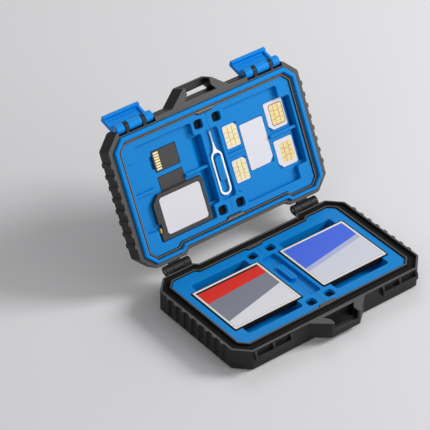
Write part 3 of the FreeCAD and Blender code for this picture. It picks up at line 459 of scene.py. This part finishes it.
def metalFinish(name, colour, rough, streak, metal):
    f = Finish(name, Metallic=metal)
    spot = f.where()
    fine = f.noise(spot, streak)
    cloud = f.noise(spot, metalWear["cloud"], "broad")
    f.set("Base Color", f.mix(cloud, shade(colour, metalWear["dull"]), colour))
    f.set("Roughness", rough + swing(fine, metalWear["roughFine"]) + swing(cloud, metalWear["roughCloud"]))
    f.relief(fine, metalWear["depth"], metalWear["strength"])
    return f.material


chips = {"gold": (paint(214, 196, 146), paint(202, 178, 122)),
         "nanoGold": (paint(214, 204, 166), paint(204, 190, 146)),  # paler, on the smallest cards
         "line": paint(96, 74, 42), "gap": 0.2 * mm,
         "middle": 0.36, "sideRow": 0.46, "middleRow": 0.34,  # cuts, as shares of half the plate
         "cloud": 3 * mm, "fine": 0.2 * mm, "metal": 0.8, "rough": 0.44, "roughFine": 0.1, "roughCut": 0.3,
         "depth": 0.03 * mm, "strength": 0.7}


def chipFinish(node):  # gold plate cut into rows of contacts on both sides of a middle strip
    f = Finish("chipGold_" + node, Metallic=chips["metal"])
    spot, halfWide, halfLong = onLid(f, node)
    x, y = f.axes(spot)[:2]
    wide = chips["gap"] / 2
    side = abs(x) > halfWide * chips["middle"]
    cuts = abs(abs(x) - halfWide * chips["middle"]) < wide
    cuts = cuts | ((abs(abs(y) - halfLong * chips["sideRow"]) < wide) & side) | ((abs(y) < wide) & side)
    cuts = cuts | ((abs(abs(y) - halfLong * chips["middleRow"]) < wide) & (1 - side))
    cloud = f.noise(spot, chips["cloud"], "broad")
    fine = f.noise(spot, chips["fine"])
    tone = f.mix(cloud, *chips["nanoGold" if node.startswith("nano") else "gold"])
    f.set("Base Color", f.mix(cuts, tone, chips["line"]))
    f.set("Roughness", chips["rough"] + swing(fine, chips["roughFine"]) + chips["roughCut"] * cuts)
    f.relief(1 - cuts, chips["depth"], chips["strength"])
    return f.material


finishes = {}
for make, looks in ((blueFinish, blues), (metalFinish, metals), (labelFinish, labels), (cardFinish, cards)):
    for slot, look in looks.items():
        finishes[slot] = make(**look)
ownFinish = {"shell_black": shellFinish, "chip_gold": chipFinish, "cf_body": cfFinish}  # one for each node
print("finishes made:", len(finishes))


def dress(name, node):
    slot = slotOf[name]
    material = ownFinish[slot](name) if slot in ownFinish else finishes[name if name in finishes else slot]
    node.data.materials.clear()
    node.data.materials.append(material)


for name, node in nodes.items():
    dress(name, node)
print("nodes dressed")

# moulded edges: each hard piece is copied, its outer edges rounded, and the copy stands for the node

moulded = {  # width of the rounding in millimetres
    "base_shell": 0.3, "lid_shell": 0.3,
    "base_tray_left": 0.25, "base_tray_right": 0.25, "lid_tray_left": 0.25, "lid_tray_right": 0.25,
    "latch_left": 0.25, "latch_right": 0.25,
    "cf_card_left": 0.12, "cf_card_right": 0.12, "sd_card": 0.15,
    "microsd_upper": 0.08, "microsd_lower": 0.08, "mini_sim": 0.06,
    "nano_sim_upper": 0.06, "nano_sim_lower": 0.06, "micro_sim_upper": 0.06, "micro_sim_lower": 0.06,
    "eject_pin": 0.22,
}
rounding = {
    "flat": math.radians(0.6), "steep": math.radians(28), "bend": math.radians(35),
    "smooth": math.radians(38), "dent": math.radians(20),
    "steps": 2, "tries": 6, "seam": 0.2 * mm, "large": 5 * mm * mm, "weight": 80,
    "merge": 0.3, "tidy": 0.1, "clear": 2.0, "lap": 0.003,  # from here on, shares of the rounding's width
    "room": 2.5, "short": 1.3, "bent": 2.6,
}


def roomFor(edge, width):  # whether the narrower of its two faces reaches far enough from the edge
    start = edge.verts[0].co
    along = (edge.verts[1].co - start).normalized()
    reach = []
    for face in edge.link_faces:
        reach.append(max((v.co - start - along * (v.co - start).dot(along)).length for v in face.verts))
    return min(reach) > rounding["room"] * width


def crowded(edge, chosen, width):  # short edges at its ends leave no room for the rounding
    along = (edge.verts[1].co - edge.verts[0].co).normalized()
    for vert in edge.verts:
        for other in vert.link_edges:
            if other is edge:
                continue
            if other not in chosen and other.calc_length() < rounding["short"] * width:
                return True
            line = (other.verts[1].co - other.verts[0].co).normalized()
            bent = math.acos(min(abs(along.dot(line)), 1.0)) > rounding["bend"]
            if other in chosen and bent and other.calc_length() < rounding["bent"] * width:
                return True
    return False


def lapSpots(bm, width):  # places where a face crosses itself after the rounding
    bm.normal_update()
    lapped = []
    for first, second, third in bm.calc_loop_triangles():
        turn = (second.vert.co - first.vert.co).cross(third.vert.co - first.vert.co)
        if turn.dot(first.face.normal) < -rounding["lap"] * width * width and first.face not in lapped:
            lapped.append(first.face)
    spots = []
    for face in lapped:
        across = face.normal.orthogonal().normalized()
        up = face.normal.cross(across)
        level = face.normal * face.verts[0].co.dot(face.normal)
        flat = [Vector((v.co.dot(across), v.co.dot(up))) / width for v in face.verts]
        for one, two in itertools.combinations(range(len(flat)), 2):
            if 1 < two - one < len(flat) - 1:
                hit = geometry.intersect_line_line_2d(flat[one - 1], flat[one], flat[two - 1], flat[two])
                if hit:
                    spots.append(level + (across * hit.x + up * hit.y) * width)
    return spots


def nearAny(spots, edge, reach):
    start, end = [vert.co for vert in edge.verts]
    for spot in spots:
        share = geometry.intersect_point_line(spot, start, end)[1]
        if (start.lerp(end, min(max(share, 0.0), 1.0)) - spot).length < reach:
            return True
    return False


def rounded(name, width, spots):
    bm = bmesh.new()
    bm.from_mesh(nodes[name].data)
    bmesh.ops.remove_doubles(bm, verts=bm.verts[:], dist=width * rounding["merge"])
    bmesh.ops.dissolve_limit(bm, angle_limit=rounding["flat"], verts=bm.verts[:], edges=bm.edges[:])
    chosen = {e for e in bm.edges if e.is_manifold and e.is_convex
              and e.calc_face_angle() > rounding["steep"] and roomFor(e, width)
              and max(abs(v.co.x) for v in e.verts) > rounding["seam"]  # edges of the trays' seam stay sharp
              and not nearAny(spots, e, width * rounding["clear"])}
    left = -1
    while left != len(chosen):
        left = len(chosen)
        chosen -= {e for e in chosen if crowded(e, chosen, width)}
    bmesh.ops.bevel(bm, geom=[e for e in bm.edges if e in chosen], offset=width, offset_type="OFFSET",
                    affect="EDGES", segments=rounding["steps"], profile=0.5, material=-1,
                    clamp_overlap=False)
    bmesh.ops.remove_doubles(bm, verts=bm.verts[:], dist=width * rounding["tidy"])
    return bm, left


def shaded(bm):  # smooth over the roundings, sharp where faces meet at an angle
    for face in bm.faces:
        face.smooth = True
    for edge in bm.edges:
        limit = rounding["smooth"] if edge.is_convex else rounding["dent"]
        edge.smooth = edge.calc_face_angle(0.0) < limit
    for vert in bm.verts:  # where large flats meet at an angle, each keeps its own shading
        flats = [face.normal for face in vert.link_faces if face.calc_area() > rounding["large"]]
        if any(one.angle(two, 0.0) > rounding["dent"] for one, two in itertools.combinations(flats, 2)):
            for edge in vert.link_edges:
                edge.smooth = edge.calc_face_angle(0.0) < rounding["dent"] / 2


def softened(name, width):
    spots = []
    for _ in range(rounding["tries"]):  # edges whose rounding makes a face lap over are left sharp
        bm, count = rounded(name, width, spots)
        more = lapSpots(bm, width)
        if not more:
            break
        spots += more
    shaded(bm)
    piece = addObject(name + "_moulded", bm, nodes[name].data.materials[0])
    even = piece.modifiers.new("evenShade", "WEIGHTED_NORMAL")
    even.weight = rounding["weight"]
    even.keep_sharp = True
    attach(piece, nodes[name]["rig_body"])
    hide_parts(name)
    print(name, "rounded on", count, "edges;", len(spots), "places left sharp,", len(more), "still lap")


for name, width in moulded.items():
    softened(name, width * mm)

# gold contacts on the small card

pads = {"card": "microsd_upper", "count": 7, "long": 3.0 * mm, "wide": 0.95 * mm, "pitch": 1.42 * mm,
        "inset": 0.9 * mm, "thick": 0.04 * mm, "lift": 0.012 * mm, "round": 0.012 * mm,
        "cardHalf": 7.5 * mm, "x": -28.3 * mm, "y": 14.1 * mm, "top": -3.6 * mm}


def cardContacts():
    bm = bmesh.new()
    size = Matrix.Diagonal((pads["long"], pads["wide"], pads["thick"], 1))
    for index in range(pads["count"]):
        across = (index - (pads["count"] - 1) / 2) * pads["pitch"]
        middle = Vector((pads["x"] - pads["cardHalf"] + pads["inset"] + pads["long"] / 2,
                         lid["middle"] + pads["y"] + across, pads["top"] + pads["lift"]))
        bmesh.ops.create_cube(bm, size=1.0, matrix=lidPlace @ Matrix.Translation(middle) @ size)
    bmesh.ops.bevel(bm, geom=bm.edges[:], offset=pads["round"], offset_type="OFFSET", affect="EDGES",
                    segments=1, profile=0.5, material=-1)
    piece = addObject("small_card_contacts", bm, finishes["contact_gold"])
    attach(piece, nodes[pads["card"]]["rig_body"])


cardContacts()
print("contacts laid")

# flared neck where the eject pin's loop runs into its needle

neck = {"pin": "eject_pin", "foot": 2.0 * mm, "tip": 0.54 * mm, "curve": 2.4, "cuts": 9,
        "start": 6.1 * mm, "long": 5.2 * mm, "thick": 1.12 * mm, "level": -2.5 * mm, "round": 0.2 * mm}


def pinNeck():
    bm = bmesh.new()
    bmesh.ops.create_cube(bm, size=1.0)
    lengthwise = [edge for edge in bm.edges if abs(edge.verts[0].co.y - edge.verts[1].co.y) > 0.5]
    bmesh.ops.subdivide_edges(bm, edges=lengthwise, cuts=neck["cuts"])
    for vert in bm.verts:
        along = vert.co.y + 0.5  # 0 at the loop, 1 at the needle
        flare = (1 - along) ** neck["curve"]
        vert.co.x *= 2 * (neck["tip"] + (neck["foot"] - neck["tip"]) * flare)
        vert.co.y = neck["start"] + neck["long"] * along
        vert.co.z *= 2 * neck["tip"] + (neck["thick"] - 2 * neck["tip"]) * flare
    corners = [edge for edge in bm.edges if edge.calc_face_angle() > rounding["steep"]]
    bmesh.ops.bevel(bm, geom=corners, offset=neck["round"], offset_type="OFFSET", affect="EDGES",
                    segments=rounding["steps"], profile=0.5, material=-1)
    place = lidPlace @ Matrix.Translation((0, lid["middle"], neck["level"]))
    bmesh.ops.transform(bm, matrix=place, verts=bm.verts[:])
    for face in bm.faces:
        face.smooth = True
    piece = addObject("eject_pin_neck", bm, finishes["eject_steel"])
    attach(piece, nodes[neck["pin"]]["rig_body"])


pinNeck()
print("pin neck made")

# stage, lights and camera

stage = {"colour": paint(226, 226, 228), "reach": 4.0, "rough": 0.9, "specular": 0.1}


def plainFloor():
    f = Finish("floorPale", Base_Color=stage["colour"], Roughness=stage["rough"],
               Specular_IOR_Level=stage["specular"])
    bm = bmesh.new()
    bmesh.ops.create_grid(bm, x_segments=1, y_segments=1, size=stage["reach"])
    floor = addObject("floor", bm, f.material)


studio = {
    "lamps": {
        "key": {"at": (1.02, -0.46, 0.72), "size": 0.45, "power": 14.0},
        "fill": {"at": (-0.9, -0.5, 0.9), "size": 0.9, "power": 2.0},
        "front": {"at": (0.62, -1.12, 0.3), "size": 0.9, "power": 4.5},
        "rear": {"at": (0.5, 0.8, 0.95), "size": 0.6, "power": 2.5},
    },
    "aim": (0.0, 0.025, 0.04),
    "sky": 0.28, "skyColour": (1.0, 1.0, 1.0, 1.0),
}


def lamp(name, at, size, power):
    light = bpy.data.lights.new(name, "AREA")
    light.size = size
    light.energy = power
    thing = bpy.data.objects.new(name, light)
    thing.location = at
    thing.rotation_euler = (Vector(studio["aim"]) - Vector(at)).to_track_quat("-Z", "Y").to_euler()
    bpy.context.scene.collection.objects.link(thing)


def skyLight():
    world = bpy.data.worlds.new("studioSky")
    world.use_nodes = True
    background = world.node_tree.nodes["Background"]
    background.inputs["Color"].default_value = studio["skyColour"]
    background.inputs["Strength"].default_value = studio["sky"]
    bpy.context.scene.world = world


lens = {"target": (-25.87 * mm, 28.91 * mm, 43.97 * mm), "away": 1211.4 * mm,
        "azimuth": -37.95, "height": 37.01, "focal": 202.37, "sensor": 36.0}


def photoCamera():
    turn = math.radians(lens["azimuth"])
    lift = math.radians(lens["height"])
    back = Vector((math.sin(turn) * math.cos(lift), -math.cos(turn) * math.cos(lift), math.sin(lift)))
    data = bpy.data.cameras.new("photoCamera")
    data.lens = lens["focal"]
    data.sensor_width = lens["sensor"]
    camera = bpy.data.objects.new("photoCamera", data)
    camera.location = Vector(lens["target"]) + back * lens["away"]
    camera.rotation_euler = (-back).to_track_quat("-Z", "Y").to_euler()
    bpy.context.scene.collection.objects.link(camera)
    bpy.context.scene.camera = camera


plainFloor()
for name, look in studio["lamps"].items():
    lamp(name, **look)
skyLight()
photoCamera()
bpy.context.scene.view_settings.view_transform = "Standard"
print("stage, lights and camera set")
